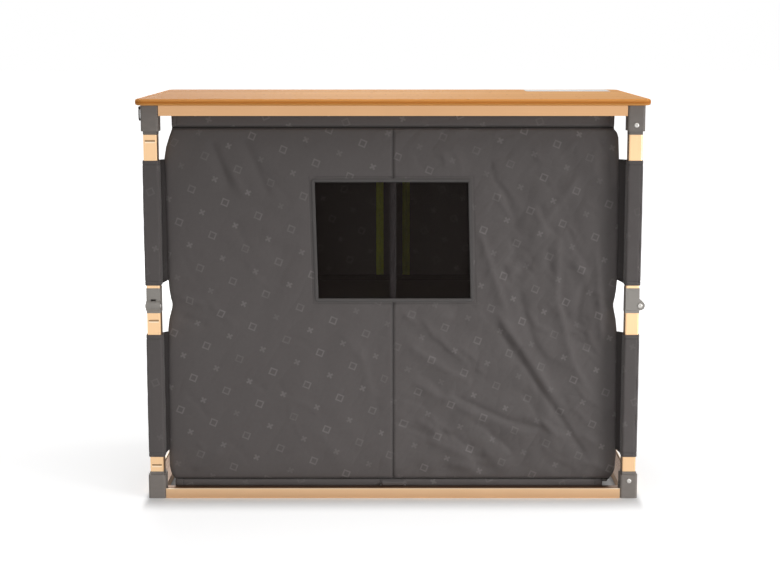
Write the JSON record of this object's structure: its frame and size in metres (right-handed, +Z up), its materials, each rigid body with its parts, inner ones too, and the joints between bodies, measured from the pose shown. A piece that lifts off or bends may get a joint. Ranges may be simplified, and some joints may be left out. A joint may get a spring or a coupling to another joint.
{
  "type": "folding cupboard",
  "caption": "Free-standing camp cupboard: a board top on a rimmed aluminium frame with jointed folding legs and a hung cloth body with shelves, doors and a rear window.",
  "frame": {"origin": "on the floor, under the middle of the board top", "axes": "+Z up, +X to the right of a person who faces the doors, +Y to the back of the cupboard"},
  "size_m": [1.04, 0.48, 0.83],
  "materials": {
    "bamboo_board": "oiled",
    "brushed_plate": "brushed",
    "champagne_aluminium": "satin anodised",
    "grey_moulding": "moulded",
    "plain_steel": "plated",
    "dark_cloth": "woven polyester",
    "window_net": "fine net",
    "thin_panel": "fine grain"
  },
  "bodies": {
    "base": {"bottom_front_rail": "champagne_aluminium", "bottom_left_rail": "champagne_aluminium", "bottom_rear_rail": "champagne_aluminium", "bottom_right_rail": "champagne_aluminium", "floor_crossbar": "champagne_aluminium", "floor_board": "thin_panel", "cloth_body": "dark_cloth", "cloth_back": "dark_cloth", "window_mesh": "window_net", "rear_right_bottom_corner": "grey_moulding", "rear_left_bottom_corner": "grey_moulding", "front_left_bottom_corner": "grey_moulding", "front_right_bottom_corner": "grey_moulding"},
    "rear_right_lower_leg": {"rear_right_lower_hip_plug": "grey_moulding", "rear_right_lower_tube": "champagne_aluminium", "rear_right_lower_sleeve": "dark_cloth", "rear_right_knee_tongue": "grey_moulding"},
    "rear_right_upper_leg": {"rear_right_knee_fork": "grey_moulding", "rear_right_upper_tube": "champagne_aluminium", "rear_right_upper_sleeve": "dark_cloth", "rear_right_upper_hip_plug": "grey_moulding"},
    "rear_left_lower_leg": {"rear_left_lower_hip_plug": "grey_moulding", "rear_left_lower_tube": "champagne_aluminium", "rear_left_lower_sleeve": "dark_cloth", "rear_left_knee_tongue": "grey_moulding"},
    "rear_left_upper_leg": {"rear_left_knee_fork": "grey_moulding", "rear_left_upper_tube": "champagne_aluminium", "rear_left_upper_sleeve": "dark_cloth", "rear_left_upper_hip_plug": "grey_moulding"},
    "front_left_lower_leg": {"front_left_lower_hip_plug": "grey_moulding", "front_left_lower_tube": "champagne_aluminium", "front_left_lower_sleeve": "dark_cloth", "front_left_knee_tongue": "grey_moulding"},
    "front_left_upper_leg": {"front_left_knee_fork": "grey_moulding", "front_left_upper_tube": "champagne_aluminium", "front_left_upper_sleeve": "dark_cloth", "front_left_upper_hip_plug": "grey_moulding"},
    "front_right_lower_leg": {"front_right_lower_hip_plug": "grey_moulding", "front_right_lower_tube": "champagne_aluminium", "front_right_lower_sleeve": "dark_cloth", "front_right_knee_tongue": "grey_moulding"},
    "front_right_upper_leg": {"front_right_knee_fork": "grey_moulding", "front_right_upper_tube": "champagne_aluminium", "front_right_upper_sleeve": "dark_cloth", "front_right_upper_hip_plug": "grey_moulding"},
    "top": {"board_top": "bamboo_board", "pan_plate": "brushed_plate", "top_front_rail": "champagne_aluminium", "top_left_rail": "champagne_aluminium", "top_rear_rail": "champagne_aluminium", "top_right_rail": "champagne_aluminium", "rear_right_top_corner": "grey_moulding", "rear_left_top_corner": "grey_moulding", "front_left_top_corner": "grey_moulding", "front_right_top_corner": "grey_moulding"},
    "ring": {"hanging_ring": "plain_steel"},
    "left_door": {"door_left": "dark_cloth"},
    "right_door": {"door_right": "dark_cloth"},
    "left_shelf": {"shelf_left": "thin_panel"},
    "right_shelf": {"shelf_right": "thin_panel"}
  },
  "joints": [
    {"name": "fold", "type": "hinge", "parent": "base", "child": "rear_right_lower_leg", "pos_m": [0.491, 0.211, 0.037], "axis": [1, 0, 0], "range_deg": [0, 90], "deforming": ["cloth_body", "cloth_back", "window_mesh", "door_left", "door_right"]},
    {"name": "rear_right_knee", "type": "hinge", "parent": "rear_right_lower_leg", "child": "rear_right_upper_leg", "pos_m": [0.491, 0.2265, 0.407], "axis": [1, 0, 0], "range_deg": [-180, 0]},
    {"name": "rear_left_hip", "type": "hinge", "parent": "base", "child": "rear_left_lower_leg", "pos_m": [-0.491, 0.211, 0.037], "axis": [0, 1, 0], "range_deg": [0, 90]},
    {"name": "rear_left_knee", "type": "hinge", "parent": "rear_left_lower_leg", "child": "rear_left_upper_leg", "pos_m": [-0.5065, 0.211, 0.407], "axis": [0, 1, 0], "range_deg": [-180, 0]},
    {"name": "front_left_hip", "type": "hinge", "parent": "base", "child": "front_left_lower_leg", "pos_m": [-0.491, -0.211, 0.037], "axis": [-1, 0, 0], "range_deg": [0, 90]},
    {"name": "front_left_knee", "type": "hinge", "parent": "front_left_lower_leg", "child": "front_left_upper_leg", "pos_m": [-0.491, -0.2265, 0.407], "axis": [-1, 0, 0], "range_deg": [-180, 0]},
    {"name": "front_right_hip", "type": "hinge", "parent": "base", "child": "front_right_lower_leg", "pos_m": [0.491, -0.211, 0.037], "axis": [0, -1, 0], "range_deg": [0, 90]},
    {"name": "front_right_knee", "type": "hinge", "parent": "front_right_lower_leg", "child": "front_right_upper_leg", "pos_m": [0.5065, -0.211, 0.407], "axis": [0, -1, 0], "range_deg": [-180, 0]},
    {"name": "top_hip", "type": "hinge", "parent": "rear_right_upper_leg", "child": "top", "pos_m": [0.491, 0.211, 0.777], "axis": [1, 0, 0], "range_deg": [0, 90]},
    {"name": "left_shelf_drop", "type": "slide", "parent": "base", "child": "left_shelf", "axis": [0, 0, 1], "range_m": [-0.33, 0]},
    {"name": "right_shelf_drop", "type": "slide", "parent": "base", "child": "right_shelf", "axis": [0, 0, 1], "range_m": [-0.33, 0]},
    {"name": "left_door_swing", "type": "hinge", "parent": "top", "child": "left_door", "pos_m": [-0.2365, -0.19, 0.7447], "axis": [-1, 0, 0], "range_deg": [0, 110]},
    {"name": "right_door_swing", "type": "hinge", "parent": "top", "child": "right_door", "pos_m": [0.2365, -0.19, 0.7447], "axis": [-1, 0, 0], "range_deg": [0, 110]},
    {"name": "ring_swing", "type": "hinge", "parent": "top", "child": "ring", "pos_m": [0.512, 0.211, 0.8115], "axis": [0, -1, 0], "range_deg": [0, 85]}
  ],
  "couplings": [
    {"joint": "rear_right_knee", "follows": "fold", "ratio": -2},
    {"joint": "rear_left_hip", "follows": "fold", "ratio": 1},
    {"joint": "rear_left_knee", "follows": "fold", "ratio": -2},
    {"joint": "front_left_hip", "follows": "fold", "ratio": 1},
    {"joint": "front_left_knee", "follows": "fold", "ratio": -2},
    {"joint": "front_right_hip", "follows": "fold", "ratio": 1},
    {"joint": "front_right_knee", "follows": "fold", "ratio": -2},
    {"joint": "top_hip", "follows": "fold", "ratio": 1},
    {"joint": "left_shelf_drop", "follows": "fold", "m_per_rad": -0.21},
    {"joint": "right_shelf_drop", "follows": "fold", "m_per_rad": -0.21}
  ]
}
